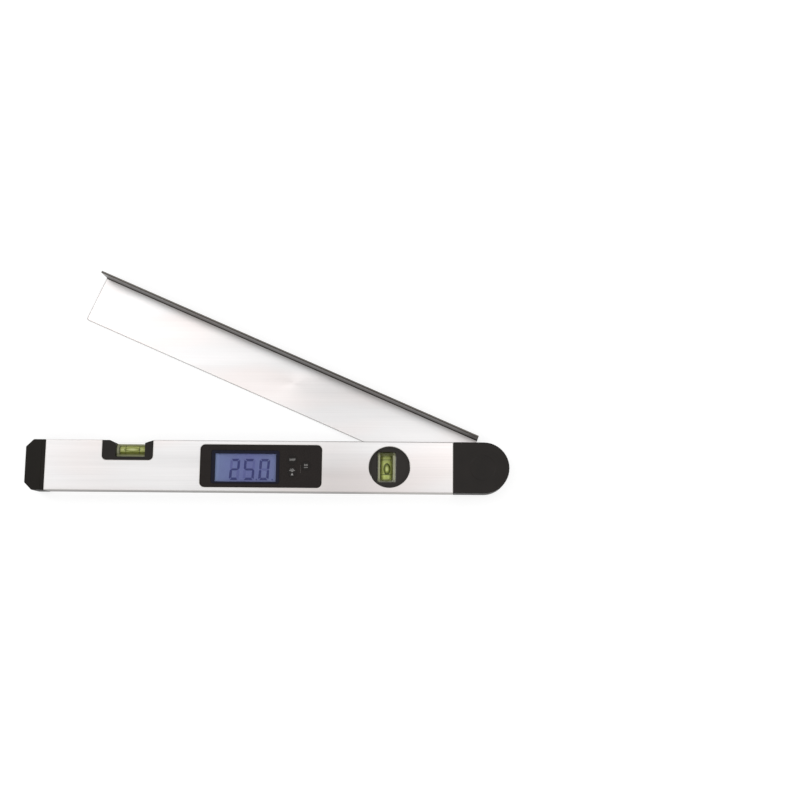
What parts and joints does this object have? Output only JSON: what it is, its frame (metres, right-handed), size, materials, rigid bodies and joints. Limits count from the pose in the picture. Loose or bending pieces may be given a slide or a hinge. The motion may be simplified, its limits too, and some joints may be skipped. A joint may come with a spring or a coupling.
{
  "type": "digital angle finder",
  "caption": "Digital angle finder: a box-section body with a lit display and two spirit vials, and an L-section arm on a friction hinge.",
  "frame": {"origin": "on the hinge's axis, at the back plane that the tool lies on", "axes": "+Z out of the front towards the viewer, the body runs from the hinge towards -X, +Y across it towards the top edge vial"},
  "size_m": [0.4423, 0.2057, 0.0231],
  "materials": {
    "aluminium": "brushed along its length",
    "black_plastic": "matte moulded",
    "black_gloss": "glossy",
    "clear_plastic": "clear, polished",
    "green_vial": "clear acrylic seen with its green liquid",
    "lcd_blue": "backlit display glass",
    "white_plastic": "satin",
    "board_green": "lacquered laminate",
    "steel": "turned, zinc plated",
    "spring_steel": "oiled spring steel",
    "brass": "nickel-free leaf",
    "bronze": "sintered bronze",
    "battery_wrap": "plastic film over a metal can",
    "cable_grey": "matte sheath"
  },
  "bodies": {
    "body": {"body_extrusion": "aluminium", "end_cap": "black_plastic", "display_panel": "black_gloss", "display_lens": "clear_plastic", "lcd_module": "lcd_blue", "lcd_backlight": "white_plastic", "display_board": "board_green", "board_screw_1": "steel", "board_screw_2": "steel", "board_screw_3": "steel", "board_screw_4": "steel", "switch_power": "steel", "switch_light": "steel", "switch_zero": "steel", "battery_frame": "black_plastic", "battery_1": "battery_wrap", "battery_2": "battery_wrap", "contact_bridge": "brass", "contact_plus": "brass", "contact_minus": "brass", "battery_door": "black_plastic", "door_screw": "steel", "top_vial_holder": "black_plastic", "top_vial": "green_vial", "top_vial_plug": "clear_plastic", "round_vial_holder": "black_plastic", "round_vial": "green_vial", "round_vial_plug": "clear_plastic", "hinge_housing": "black_plastic", "hinge_cover": "black_plastic", "cover_screw_1": "steel", "cover_screw_2": "steel", "cover_screw_3": "steel", "cover_screw_4": "steel", "pivot_bush": "bronze", "encoder_board": "board_green", "encoder_screw_1": "steel", "encoder_screw_2": "steel", "encoder_cable": "cable_grey"},
    "swing_arm": {"arm": "aluminium", "arm_screw_1": "steel", "arm_screw_2": "steel", "arm_screw_3": "steel", "pivot_spindle": "steel", "wave_washer": "spring_steel", "flat_washer": "steel", "pivot_nut": "steel", "encoder_rotor": "board_green", "rotor_clip": "spring_steel"},
    "power_key": {"key_power": "black_gloss"},
    "light_key": {"key_light": "black_gloss"},
    "zero_key": {"key_zero": "black_gloss"}
  },
  "joints": [
    {"name": "arm_hinge", "type": "hinge", "parent": "body", "child": "swing_arm", "pos_m": [0, 0, 0.0126], "axis": [0, 0, -1], "range_deg": [-23.5, 206.5]},
    {"name": "power_press", "type": "slide", "parent": "body", "child": "power_key", "axis": [0, 0, -1], "range_m": [0, 0.0005], "stiffness_N_per_m": 1500, "springref_m": -0.0002},
    {"name": "light_press", "type": "slide", "parent": "body", "child": "light_key", "axis": [0, 0, -1], "range_m": [0, 0.0005], "stiffness_N_per_m": 1500, "springref_m": -0.0002},
    {"name": "zero_press", "type": "slide", "parent": "body", "child": "zero_key", "axis": [0, 0, -1], "range_m": [0, 0.0005], "stiffness_N_per_m": 1500, "springref_m": -0.0002}
  ]
}
